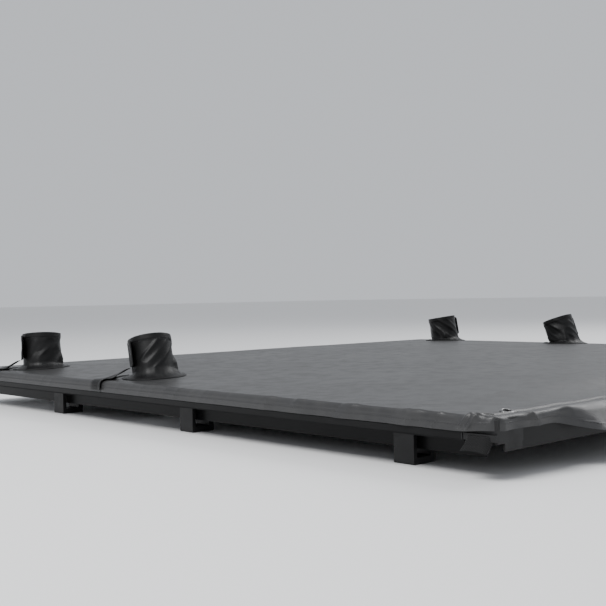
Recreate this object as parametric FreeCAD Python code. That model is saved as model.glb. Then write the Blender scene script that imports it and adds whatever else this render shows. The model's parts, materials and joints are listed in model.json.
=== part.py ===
import FreeCAD, Part
import math
import os

# Soft roll-up tonneau cover for a pickup load bed that carries a sports bar.
# Millimetres, +Z up, +Y towards the cab, +X towards the right-hand side of the truck.
# The origin is under the middle of the cover, at the height of its lowest pieces, the clamps.

V = FreeCAD.Vector
X_AXIS = V(1, 0, 0)
Y_AXIS = V(0, 1, 0)
Z_AXIS = V(0, 0, 1)
LEFT, RIGHT = -1, 1

# --- driving dimensions -------------------------------------------------------------------------
COVER_WIDTH = 1660.0  # outer faces of the two side hems
COVER_LENGTH = 1540.0  # front hem to rear flap
SEAT_Z = 52.0  # top of the truck's bed rail, with the seal squeezed flat
CROWN = 18.0  # rise of the cover's middle above its edges
VINYL = 2.0
HEM_RADIUS = 8.0  # where the cover turns down into its hem
EDGE_RISE = 32.0  # top of the cover's edge above the rail's underside
HEM_LIFT = 10.0  # bottom of the side hem above the rail's underside
FLAT_CROWN = 1.5  # what is left of the crown at the front rail and the rear bar
CLEAR = 0.3  # gap between pieces that move past each other

# --- side rail section, measured inwards from the hem's outer face and up from its underside ----
RAIL_OUTER = 4.4
RAIL_WALL = 2.6
RAIL_BOX = 32.0
RAIL_TOP = 29.6
RAIL_LEDGE = 54.0
RAIL_BASE = 3.0
RAIL_WEB_DROP = 30.0
RAIL_LIP_TOP = 9.0
RAIL_REAR_Y = -712.0
RAIL_FRONT_Y = 722.0
RAIL_ROUND = 3.0
SEAL_THICK = 3.0
SEAL_SPAN = (6.0, 30.0)

# --- hook and loop strips -----------------------------------------------------------------------
LOOP_THICK = 1.1
HOOK_THICK = 1.0
STRIP_SPAN = (12.0, 24.0)

# --- bows ---------------------------------------------------------------------------------------
BOW_GAP = 0.6
BOW_DEPTH = 14.0
BOW_WIDTH = 30.0
BOW_WALL = 2.0
BOW_END_X = 782.0
FIXED_BOW_Y = (490.0, 260.0, 30.0, -131.0)
ROLLING_BOW_Y = -430.0
FULL_CROWN_FRONT_Y = FIXED_BOW_Y[0] + BOW_WIDTH / 2

# --- the rolling rear part ----------------------------------------------------------------------
HINGE_Y = (-150.0, -320.0, -520.0, -615.0)
PANEL_GAP = 1.0
HINGE_Z = SEAT_Z + EDGE_RISE + CROWN + 0.5

# --- rear bar -----------------------------------------------------------------------------------
BAR_SPAN_Y = (-765.0, -729.0)
BAR_TOP = 29.2
BAR_WALL = 2.5
APRON_DROP = 14.0  # the rear bar's lip hangs this far over the tailgate's outer edge
APRON_END = 22.0  # from the cover's side to the lip's end
BAR_END_X = 770.0
REAR_FLAP_BOTTOM = 1.0
REAR_FLAT_Y = -745.0

# --- sports bar leg boots -----------------------------------------------------------------------
LEG_RADIUS = 38.1
BOOT_BORE = 40.0
BOOT_WALL = 2.2
BOOT_X = 734.0
BOOT_Y = {"front": 580.0, "rear": 124.0}
BOOT_RAKE = {"front": 8.0, "rear": 18.0}
BOOT_LEAN = 4.0
BOOT_HEIGHT = 78.0
BOOT_BASE_RADIUS = 74.0
BOOT_FLARE_HEIGHT = 22.0
BOOT_SINK = 4.0  # how far the flare is drawn below the cover before it is trimmed to it
BOOT_SEAM_GAP = 0.15
LEG_HOLE_RADIUS = 50.0
SLIT = 1.6
SLIT_ANGLE = 25.0  # the slit runs forwards of straight outboard by this many degrees

# --- clamps -------------------------------------------------------------------------------------
CLAMP_Y = (-580.0, -60.0, 400.0)
CLAMP_WIDTH = 38.0
CLAMP_DROP = 52.0
BOLT_HEIGHT = -22.0
BOLT_RADIUS = 4.0
BOLT_CLEARANCE = 0.05
TIP_RADIUS = 3.0
PAD_RADIUS = 9.0
PAD_THICK = 5.0
HEAD_RADIUS = 7.5

HALF_WIDTH = COVER_WIDTH / 2
HALF_LENGTH = COVER_LENGTH / 2
EDGE_Z = SEAT_Z + EDGE_RISE
REACH = 200.0  # how far cutting tools run past what they cut
TINY = 0.01


# --- small helpers ------------------------------------------------------------------------------
def box(x0, x1, y0, y1, z0, z1):
    return Part.makeBox(x1 - x0, y1 - y0, z1 - z0, V(x0, y0, z0))


def side_box(side, u0, u1, y0, y1, z0, z1):
    """A box placed by its distance u inwards from one side hem's outer face, and up from the seat."""
    a = side * (HALF_WIDTH - u0)
    b = side * (HALF_WIDTH - u1)
    return box(min(a, b), max(a, b), y0, y1, SEAT_Z + z0, SEAT_Z + z1)


def rod(radius, start, direction, length):
    return Part.makeCylinder(radius, length, start, direction)


def polygon_prism(points, direction):
    return Part.Face(Part.makePolygon(points + points[:1])).extrude(direction)


def mirrored(shape):
    return shape.mirror(V(0, 0, 0), X_AXIS)


def ring(radius, centre, normal):
    circle = Part.Wire(Part.makeCircle(radius))
    circle.Placement = FreeCAD.Placement(centre, FreeCAD.Rotation(Z_AXIS, normal))
    return circle


def round_lengthwise_edge(solid, x, z):
    """Rounds the one edge that runs along the bed at x and z."""
    edges = [e for e in solid.Edges if abs(e.CenterOfMass.x - x) < TINY and abs(e.CenterOfMass.z - z) < TINY]
    return solid.makeFillet(RAIL_ROUND, edges)


def on_side(side, left_shape):
    return left_shape if side == LEFT else mirrored(left_shape)


def fused(shapes):
    joined = shapes[0]
    for shape in shapes[1:]:
        joined = joined.fuse(shape)
    return joined.removeSplitter()


def save(name, shapes):
    shapes = shapes if isinstance(shapes, list) else [shapes]
    solids = []
    for shape in shapes:
        solids += shape.Solids
    for solid in solids:
        if not solid.isValid() or solid.Volume <= 0:
            raise ValueError(name + " has a bad solid")
    whole = solids[0] if len(solids) == 1 else Part.makeCompound(solids)
    whole.exportStep(os.path.join("parts", name + ".step"))


# --- the cover's section ------------------------------------------------------------------------
def crown_radius(crown):
    half = HALF_WIDTH - HEM_RADIUS
    return (half * half + crown * crown) / (2 * crown)


def surface_z(x, crown, offset=0.0):
    """Height of the cover's outer surface, moved outwards by offset, over the point x."""
    radius = crown_radius(crown)
    centre_z = EDGE_Z + crown - radius
    return centre_z + math.sqrt((radius + offset) ** 2 - x * x)


def half_outline(offset, crown, bottom):
    """Corner points of one skin of the section, from the left hem's bottom to the crown's middle."""
    outer = HALF_WIDTH + offset
    turn_x = HALF_WIDTH - HEM_RADIUS
    turn_z = EDGE_Z - HEM_RADIUS
    turn = HEM_RADIUS + offset
    slant = math.radians(45.0)
    return [
        V(-outer, 0, bottom),
        V(-outer, 0, turn_z),
        V(-turn_x - turn * math.cos(slant), 0, turn_z + turn * math.sin(slant)),
        V(-turn_x, 0, EDGE_Z + offset),
        V(0, 0, EDGE_Z + crown + offset),
    ]


def skin_edges(offset, crown, bottom):
    low, knee, turn, edge, top = half_outline(offset, crown, bottom)

    def across(point):
        return V(-point.x, 0, point.z)

    return [
        Part.makeLine(low, knee),
        Part.Arc(knee, turn, edge).toShape(),
        Part.Arc(edge, top, across(edge)).toShape(),
        Part.Arc(across(edge), across(turn), across(knee)).toShape(),
        Part.makeLine(across(knee), across(low)),
    ]


def filled_wire(y, outside, crown, bottom):
    """The whole section under one skin of the cover, closed by a straight line at the bottom."""
    outer = skin_edges(outside, crown, bottom)
    base = Part.makeLine(V(-HALF_WIDTH - outside, 0, bottom), V(HALF_WIDTH + outside, 0, bottom))
    wire = Part.Wire(Part.__sortEdges__(outer + [base]))
    wire.translate(V(0, y, 0))
    return wire


def section_wire(y, outside, inside, crown, bottom):
    """The closed band between two skins of the cover, at one place along the bed."""
    outer = skin_edges(outside, crown, bottom)
    inner = skin_edges(inside, crown, bottom)
    left_end = Part.makeLine(V(-HALF_WIDTH - inside, 0, bottom), V(-HALF_WIDTH - outside, 0, bottom))
    right_end = Part.makeLine(V(HALF_WIDTH + outside, 0, bottom), V(HALF_WIDTH + inside, 0, bottom))
    wire = Part.Wire(Part.__sortEdges__(outer + [right_end] + inner + [left_end]))
    wire.translate(V(0, y, 0))
    return wire


def band(y0, y1, outside=0.0, inside=-VINYL, bottom=SEAT_Z + HEM_LIFT):
    """A run of the cover's section with the full crown."""
    return Part.Face(section_wire(y0, outside, inside, CROWN, bottom)).extrude(V(0, y1 - y0, 0))


def fading_band(y_full, y_flat, outside=0.0, inside=-VINYL, bottom=SEAT_Z + HEM_LIFT):
    """A run whose crown fades to nearly flat."""
    full = section_wire(y_full, outside, inside, CROWN, bottom)
    flat = section_wire(y_flat, outside, inside, FLAT_CROWN, bottom)
    return Part.makeLoft([full, flat], True, True)


def front_layer(outside, inside, bottom=SEAT_Z + HEM_LIFT):
    """The front sheet's shape between two skins, with no holes."""
    flat = band(HINGE_Y[0] + PANEL_GAP / 2, FULL_CROWN_FRONT_Y, outside, inside, bottom)
    fade = fading_band(FULL_CROWN_FRONT_Y, HALF_LENGTH, outside, inside, bottom)
    return flat.fuse(fade)


def under_front_cover(offset):
    """Everything under the front sheet, out to offset above its outer surface."""
    rear = filled_wire(HINGE_Y[0], offset, CROWN, 0)
    full = filled_wire(FULL_CROWN_FRONT_Y, offset, CROWN, 0)
    flat = filled_wire(HALF_LENGTH, offset, FLAT_CROWN, 0)
    return Part.makeLoft([rear, full], True, True).fuse(Part.makeLoft([full, flat], True, True))


# --- rails and frame ----------------------------------------------------------------------------
def rail_section(with_web):
    """Side rail section at the left rail's place, in the XZ plane."""
    def p(u, z):
        return V(-HALF_WIDTH + u, 0, SEAT_Z + z)

    lip = 0.0 if with_web else RAIL_OUTER
    outline = [p(lip, 0)]
    if with_web:
        outline += [p(RAIL_LEDGE - RAIL_WALL, 0), p(RAIL_LEDGE - RAIL_WALL, -RAIL_WEB_DROP)]
        outline += [p(RAIL_LEDGE, -RAIL_WEB_DROP)]
    else:
        outline += [p(RAIL_LEDGE, 0)]
    outline += [p(RAIL_LEDGE, RAIL_BASE), p(RAIL_BOX, RAIL_BASE), p(RAIL_BOX, RAIL_TOP)]
    outline += [p(RAIL_OUTER, RAIL_TOP), p(RAIL_OUTER, RAIL_LIP_TOP if with_web else 0)]
    if with_web:
        outline += [p(lip, RAIL_LIP_TOP)]
    return outline


def rail(section, start_y, end_y):
    length = V(0, end_y - start_y, 0)
    solid = polygon_prism(section, length)
    solid.translate(V(0, start_y, 0))
    hollow = side_box(
        LEFT,
        RAIL_OUTER + RAIL_WALL,
        RAIL_BOX - RAIL_WALL,
        start_y,
        end_y,
        RAIL_BASE,
        RAIL_TOP - RAIL_WALL,
    )
    return round_lengthwise_edge(solid.cut(hollow), -HALF_WIDTH + RAIL_OUTER, SEAT_Z + RAIL_TOP)


def box_plug(side, y0, y1):
    """A tongue that fills the hollow of a side rail."""
    inset = RAIL_WALL + CLEAR
    return side_box(
        side,
        RAIL_OUTER + inset,
        RAIL_BOX - inset,
        y0,
        y1,
        RAIL_BASE + CLEAR,
        RAIL_TOP - inset,
    )


def front_rail():
    """The rail section laid across the bulkhead, its outer face to the front."""
    half = HALF_WIDTH - RAIL_LEDGE
    along_y = rail(rail_section(False), -half, half)
    along_y.rotate(V(0, 0, 0), Z_AXIS, -90)
    along_y.translate(V(0, HALF_LENGTH - HALF_WIDTH, 0))
    return along_y


def corner_bracket(side):
    """Joins a side rail to the front rail, with a tongue into each."""
    front = HALF_LENGTH - RAIL_OUTER
    block = side_box(side, RAIL_OUTER, RAIL_LEDGE, RAIL_FRONT_Y, front, 0, RAIL_TOP)
    block = round_lengthwise_edge(block, side * (HALF_WIDTH - RAIL_OUTER), SEAT_Z + RAIL_TOP)
    tongue_length = 28.0
    side_tongue = box_plug(side, RAIL_FRONT_Y - tongue_length, RAIL_FRONT_Y)
    inset = RAIL_WALL + CLEAR
    near = HALF_WIDTH - RAIL_LEDGE
    far = near - tongue_length
    y0 = HALF_LENGTH - RAIL_BOX + inset
    y1 = HALF_LENGTH - RAIL_OUTER - inset
    z0 = SEAT_Z + RAIL_BASE + CLEAR
    z1 = SEAT_Z + RAIL_TOP - inset
    front_tongue = box(min(side * near, side * far), max(side * near, side * far), y0, y1, z0, z1)
    return fused([block, side_tongue, front_tongue])


def rail_cap(side):
    plate = side_box(side, 0, RAIL_LEDGE, RAIL_REAR_Y - 2, RAIL_REAR_Y, 0, RAIL_LIP_TOP)
    upright = side_box(side, RAIL_OUTER, RAIL_BOX, RAIL_REAR_Y - 2, RAIL_REAR_Y, 0, RAIL_TOP - 1)
    return fused([plate, upright, box_plug(side, RAIL_REAR_Y, RAIL_REAR_Y + 20)])


def loop_strip(side):
    inner = RAIL_OUTER
    return side_box(side, inner - LOOP_THICK, inner, RAIL_REAR_Y, RAIL_FRONT_Y, *STRIP_SPAN)


def hook_strip(side, y0, y1):
    return side_box(side, VINYL, VINYL + HOOK_THICK, y0, y1, *STRIP_SPAN)


def rail_seals():
    seals = [side_box(s, *SEAL_SPAN, RAIL_REAR_Y, RAIL_FRONT_Y, -SEAL_THICK, 0) for s in (LEFT, RIGHT)]
    half = HALF_WIDTH - RAIL_LEDGE
    y1 = HALF_LENGTH - SEAL_SPAN[0]
    y0 = HALF_LENGTH - SEAL_SPAN[1]
    seals.append(box(-half, half, y0, y1, SEAT_Z - SEAL_THICK, SEAT_Z))
    return seals


# --- bows ---------------------------------------------------------------------------------------
def arched_bar(y, top_offset, depth, width, end_x):
    """A bar that follows the crown, top_offset under the cover's outer surface."""
    def skin(offset):
        points = [V(x, 0, surface_z(x, CROWN, offset)) for x in (-end_x, 0, end_x)]
        return Part.Arc(*points).toShape()

    top = skin(-top_offset)
    low = skin(-top_offset - depth)
    ends = [
        Part.makeLine(top.Vertexes[0].Point, low.Vertexes[0].Point),
        Part.makeLine(top.Vertexes[-1].Point, low.Vertexes[-1].Point),
    ]
    wire = Part.Wire(Part.__sortEdges__([top, low] + ends))
    bar = Part.Face(wire).extrude(V(0, width, 0))
    bar.translate(V(0, y - width / 2, 0))
    return bar


def bow(y):
    top = VINYL + BOW_GAP
    tube = arched_bar(y, top, BOW_DEPTH, BOW_WIDTH, BOW_END_X)
    hollow = arched_bar(
        y, top + BOW_WALL, BOW_DEPTH - 2 * BOW_WALL, BOW_WIDTH - 2 * BOW_WALL, BOW_END_X + REACH / 10
    )
    half = BOW_WIDTH / 2
    edges = [e for e in tube.Edges if e.Length > BOW_END_X and abs(abs(e.CenterOfMass.y - y) - half) < TINY]
    return tube.makeFillet(1.5, edges).cut(hollow)


def bow_fitting(side, y, lift):
    """The plastic shoe that carries a bow's end on the rail's ledge."""
    end_u = HALF_WIDTH - BOW_END_X
    half = BOW_WIDTH / 2
    shoe = side_box(side, RAIL_BOX + 2, RAIL_LEDGE, y - half, y + half, RAIL_BASE + lift, 16.4)
    cheek = side_box(side, RAIL_BOX + 2, end_u - 0.2, y - half, y + half, 16.4, 29.8)
    inner = half - BOW_WALL - CLEAR
    tongue = side_box(side, end_u - 0.2, end_u + 24, y - inner, y + inner, 20.6, 28.6)
    return fused([shoe, cheek, tongue])


def countersunk_screw(x, y, z, length, radius=2.5):
    """A screw whose flush head looks down."""
    head = Part.makeCone(2 * radius, radius, radius, V(x, y, z), Z_AXIS)
    shank = rod(radius, V(x, y, z + radius), Z_AXIS, length - radius)
    return fused([head, shank])


# --- clamps -------------------------------------------------------------------------------------
def clamp_frame(y):
    """Left-hand clamp: a C that reaches under the bed's inner flange, with a threaded inboard leg."""
    y0 = y - CLAMP_WIDTH / 2
    y1 = y + CLAMP_WIDTH / 2
    outboard = side_box(LEFT, 37, 44, y0, y1, -CLAMP_DROP, -6)
    bridge = side_box(LEFT, 37, 84, y0, y1, -CLAMP_DROP, -CLAMP_DROP + 10)
    inboard = side_box(LEFT, 74, 84, y0, y1, -CLAMP_DROP, -10)
    frame = fused([outboard, bridge, inboard])
    across = [e for e in frame.Edges if abs(e.Length - CLAMP_WIDTH) < 0.01]
    frame = frame.makeFillet(2.0, across)
    bore = rod(BOLT_RADIUS + BOLT_CLEARANCE, bolt_point(60, y), X_AXIS, 60)
    return frame.cut(bore)


def bolt_point(u, y):
    return V(-HALF_WIDTH + u, y, SEAT_Z + BOLT_HEIGHT)


def clamp_pad(y):
    """Left-hand swivel pad, with a blind seat for the bolt's tip."""
    face_u = RAIL_LEDGE + CLEAR
    disc = rod(PAD_RADIUS, bolt_point(face_u, y), X_AXIS, PAD_THICK)
    neck = rod(PAD_RADIUS - 3, bolt_point(face_u + PAD_THICK, y), X_AXIS, 4)
    seat = rod(TIP_RADIUS + BOLT_CLEARANCE, bolt_point(face_u + PAD_THICK - 1, y), X_AXIS, 10)
    return fused([disc, neck]).cut(seat)


def clamp_bolt(y):
    """Left-hand clamp bolt: tip, threaded shank and hexagon head with its washer face."""
    tip_u = RAIL_LEDGE + CLEAR + PAD_THICK - 1 + BOLT_CLEARANCE
    shank_u = RAIL_LEDGE + CLEAR + PAD_THICK + 4 + CLEAR
    head_u = 98.0
    tip = rod(TIP_RADIUS, bolt_point(tip_u, y), X_AXIS, shank_u - tip_u)
    shank = rod(BOLT_RADIUS, bolt_point(shank_u, y), X_AXIS, head_u - shank_u)
    corners = []
    for k in range(6):
        angle = math.radians(60 * k)
        corners.append(
            bolt_point(head_u, y)
            + V(0, HEAD_RADIUS * math.cos(angle), HEAD_RADIUS * math.sin(angle))
        )
    head = polygon_prism(corners, V(7, 0, 0))
    flange = rod(HEAD_RADIUS + 1.5, bolt_point(head_u - 1.5, y), X_AXIS, 1.5)
    return fused([tip, shank, head, flange])


# --- leg boots and their closing flaps ----------------------------------------------------------
def leg_direction(place):
    """Along a left-hand leg, upwards: raked towards the cab and leaning inwards."""
    direction = V(math.tan(math.radians(BOOT_LEAN)), math.tan(math.radians(BOOT_RAKE[place])), 1.0)
    return direction.normalize()


def boot_crown(place):
    """The crown where a boot stands."""
    y = BOOT_Y[place]
    if y <= FULL_CROWN_FRONT_Y:
        return CROWN
    share = (y - FULL_CROWN_FRONT_Y) / (HALF_LENGTH - FULL_CROWN_FRONT_Y)
    return CROWN + share * (FLAT_CROWN - CROWN)


def boot_foot(place):
    """Where a left-hand leg's axis meets the cover."""
    return V(-BOOT_X, BOOT_Y[place], surface_z(BOOT_X, boot_crown(place)))


def boot_body(place, radius_cut, top):
    """The boot's outside as one solid, or its inside when the radius is cut by the wall."""
    foot = boot_foot(place)
    along = leg_direction(place)
    waist = foot + along * BOOT_FLARE_HEIGHT
    sleeve_radius = BOOT_BORE + BOOT_WALL - radius_cut
    base = ring(BOOT_BASE_RADIUS - radius_cut, foot - Z_AXIS * BOOT_SINK, Z_AXIS)
    flare = Part.makeLoft([base, ring(sleeve_radius, waist, along)], True, True)
    sleeve = rod(sleeve_radius, waist, along, top - BOOT_FLARE_HEIGHT)
    return flare.fuse(sleeve)


def boot(place, cutter):
    """Left-hand boot: a sleeve round the leg, flared where it is sewn to the cover."""
    outside = boot_body(place, 0, BOOT_HEIGHT)
    inside = boot_body(place, BOOT_WALL, BOOT_HEIGHT + BOOT_SINK)
    return outside.cut(inside).cut(cutter)


def boot_axes(place):
    """Outboard, rearward and along-the-leg directions of a left-hand boot."""
    along = leg_direction(place)
    rearward = V(0, -1, 0)
    rearward = (rearward - along * rearward.dot(along)).normalize()
    outboard = rearward.cross(along).normalize()
    if outboard.x > 0:
        outboard = outboard * -1
    return outboard, rearward, along


BOOT_FLAP_THICK = 2.2
BOOT_FLAP_SEWN = (38.5, -20.0)  # outboard and rearward of the leg's axis
BOOT_FLAP_WIDTH = 41.0
BOOT_FLAP_STAND = 23.0  # how far the free edge stands off the sleeve, in degrees
BOOT_FLAP_LOW = (25.0, 14.0)  # bottom at the sewn edge and at the free edge
BOOT_FLAP_TOP = 72.0


def boot_flap_axes(place):
    """Across and out of a left-hand closing flap, and along its leg."""
    outboard, rearward, along = boot_axes(place)
    turn = math.radians(BOOT_FLAP_STAND)
    across = outboard * math.sin(turn) + rearward * math.cos(turn)
    out = outboard * math.cos(turn) - rearward * math.sin(turn)
    return across, out, along


def boot_flap_edge(place):
    """Where the closing flap's sewn edge would meet the cover."""
    outboard, rearward, along = boot_axes(place)
    return boot_foot(place) + outboard * BOOT_FLAP_SEWN[0] + rearward * BOOT_FLAP_SEWN[1]


def boot_flap(place):
    """Left-hand closing flap: a stiff tab sewn in front of the boot's outboard side, standing off it."""
    across, out, along = boot_flap_axes(place)
    sewn = boot_flap_edge(place)
    free = sewn + across * BOOT_FLAP_WIDTH
    points = [
        sewn + along * BOOT_FLAP_LOW[0],
        free + along * BOOT_FLAP_LOW[1],
        free + along * BOOT_FLAP_TOP,
        sewn + along * BOOT_FLAP_TOP,
    ]
    tab = polygon_prism(points, out * BOOT_FLAP_THICK)
    corners = [e for e in tab.Edges if abs(e.Length - BOOT_FLAP_THICK) < TINY]
    return tab.makeFillet(8.0, corners)


def boot_flap_hinge(place):
    _, out, _ = boot_flap_axes(place)
    return boot_flap_edge(place) + out * (BOOT_FLAP_THICK / 2)


SLIT_FLAP_FRONT = 78.0  # sewn edge, in front of the leg's centre
SLIT_HINGE_RISE = 3.0  # the flap bends this far above its underside, so it clears the crown
SLIT_FLAP_FREE_INNER = 10.0  # free edge beside the boot, in front of the leg's centre
SLIT_FLAP_FREE_OUTER = 40.0  # free edge beyond the hem
SLIT_FLAP_SKIN = (2.3, 0.3)
SLIT_FLAP_BOTTOM = SEAT_Z + HEM_LIFT + 4


def slit_flap(place, layer):
    """Left-hand flap that laps over the slit from a leg's hole to the hem, and turns down over the hem."""
    y = BOOT_Y[place]
    base = BOOT_BASE_RADIUS + 2
    outer_x = -HALF_WIDTH - 10
    points = [
        V(-BOOT_X - SLIT_FLAP_FREE_INNER, y + SLIT_FLAP_FRONT, 0),
        V(-BOOT_X - base, y + SLIT_FLAP_FREE_INNER, 0),
        V(outer_x, y + SLIT_FLAP_FREE_OUTER, 0),
        V(outer_x, y + SLIT_FLAP_FRONT, 0),
    ]
    prism = polygon_prism(points, V(0, 0, REACH))
    keep_off = Part.makeCylinder(base, REACH, V(-BOOT_X, y, 0))
    return layer.common(prism).cut(keep_off)


def slit_flap_hinge(place):
    x = BOOT_X + BOOT_BASE_RADIUS
    underside = surface_z(x, boot_crown(place), SLIT_FLAP_SKIN[1])
    return V(-x, BOOT_Y[place] + SLIT_FLAP_FRONT, underside + SLIT_HINGE_RISE)


# --- cover --------------------------------------------------------------------------------------
def slit_y(place, x):
    """Where a left-hand slit is, at a distance x from the cover's middle."""
    return BOOT_Y[place] + (x - BOOT_X) * math.tan(math.radians(SLIT_ANGLE))


def slit_cutter(place):
    """The narrow gap from a left-hand leg's hole out through the hem."""
    turn = math.radians(SLIT_ANGLE)
    half = V(math.sin(turn), math.cos(turn), 0) * (SLIT / 2)
    inner = V(-BOOT_X, BOOT_Y[place], SEAT_Z)
    end_x = HALF_WIDTH + 5
    outer = V(-end_x, slit_y(place, end_x), SEAT_Z)
    return polygon_prism([inner - half, outer - half, outer + half, inner + half], V(0, 0, 80))


def front_sheet():
    sheet = front_layer(0, -VINYL)
    hem = box(
        -HALF_WIDTH + 1,
        HALF_WIDTH - 1,
        HALF_LENGTH - VINYL,
        HALF_LENGTH,
        SEAT_Z + HEM_LIFT,
        SEAT_Z + EDGE_RISE - 1,
    )
    sheet = sheet.fuse(hem)
    for place in BOOT_Y:
        foot = boot_foot(place)
        along = leg_direction(place)
        hole = rod(LEG_HOLE_RADIUS, foot - along * 40, along, 80)
        slit = slit_cutter(place)
        sheet = sheet.cut(fused([hole, slit]))
        sheet = sheet.cut(mirrored(fused([hole, slit])))
    return sheet


def panel(index):
    """One stiff length of the rolling rear part, between two hinge lines."""
    front_y = HINGE_Y[index] - PANEL_GAP / 2
    if index < len(HINGE_Y) - 1:
        return band(HINGE_Y[index + 1] + PANEL_GAP / 2, front_y)
    fade = fading_band(front_y, REAR_FLAT_Y)
    wire = section_wire(REAR_FLAT_Y, 0, -VINYL, FLAT_CROWN, SEAT_Z + HEM_LIFT)
    flat = Part.Face(wire).extrude(V(0, -HALF_LENGTH - REAR_FLAT_Y, 0))
    drop = box(
        -HALF_WIDTH + 1,
        HALF_WIDTH - 1,
        -HALF_LENGTH,
        -HALF_LENGTH + VINYL,
        SEAT_Z + REAR_FLAP_BOTTOM,
        SEAT_Z + EDGE_RISE - 1,
    )
    return fade.fuse(flat).fuse(drop)


def panel_hook_strips(index):
    front_y = HINGE_Y[index] - PANEL_GAP
    rear_y = HINGE_Y[index + 1] + PANEL_GAP if index < len(HINGE_Y) - 1 else RAIL_REAR_Y
    return [hook_strip(s, rear_y, front_y) for s in (LEFT, RIGHT)]


# --- rear bar -----------------------------------------------------------------------------------
def rear_bar():
    y0, y1 = BAR_SPAN_Y
    z0, z1 = SEAT_Z, SEAT_Z + BAR_TOP
    tube = box(-BAR_END_X, BAR_END_X, y0, y1, z0, z1)
    long_edges = [e for e in tube.Edges if e.Length > BAR_END_X]
    tube = tube.makeFillet(3.0, long_edges)
    w = BAR_WALL
    tube = tube.cut(box(-BAR_END_X, BAR_END_X, y0 + w, y1 - w, z0 + w, z1 - w))
    apron = box(-BAR_END_X, BAR_END_X, y0, y0 + w, z0 - APRON_DROP, z0 + BAR_WALL * 2)
    return tube.fuse(apron)


def bar_end_cap(side):
    """The plastic corner block at one end of the rear bar; it stands on the bed's rear corner."""
    y0 = BAR_SPAN_Y[0] - 1.5
    y1 = RAIL_REAR_Y - 2 - 1.5
    block = side_box(side, RAIL_OUTER, HALF_WIDTH - BAR_END_X, y0, y1, -SEAL_THICK, BAR_TOP)
    block = round_lengthwise_edge(block, side * (HALF_WIDTH - RAIL_OUTER), SEAT_Z + BAR_TOP)
    lip = side_box(side, 0, RAIL_OUTER, y0, y1, 0, RAIL_LIP_TOP)
    inset = BAR_WALL + CLEAR
    end = HALF_WIDTH - BAR_END_X
    tongue = side_box(
        side,
        end,
        end + 30,
        BAR_SPAN_Y[0] + inset,
        BAR_SPAN_Y[1] - inset,
        inset,
        BAR_TOP - inset,
    )
    apron = side_box(side, APRON_END, end, BAR_SPAN_Y[0], BAR_SPAN_Y[0] + BAR_WALL, -APRON_DROP, BAR_WALL)
    return fused([block, lip, tongue, apron])


TAB_WIDTH = 44.0
TAB_THICK = 2.4
TAB_TOP = 6.0
TAB_BOTTOM = -14.0
TAB_REAR_Y = -768.0


def pull_tab(side):
    """The webbing tab that hangs outside a rear corner."""
    outer = -CLEAR - TAB_THICK
    return side_box(side, outer, -CLEAR, TAB_REAR_Y, TAB_REAR_Y + TAB_WIDTH, TAB_BOTTOM, TAB_TOP)


def corner_eyelet(side):
    """A pressed metal ring on top of the cover's rear corner."""
    centre = V(side * (HALF_WIDTH - 58), -HALF_LENGTH + 27, EDGE_Z + 0.5)
    ring = rod(10.0, centre, Z_AXIS, 1.8)
    return ring.cut(rod(5.5, centre, Z_AXIS, 1.8))


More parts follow.
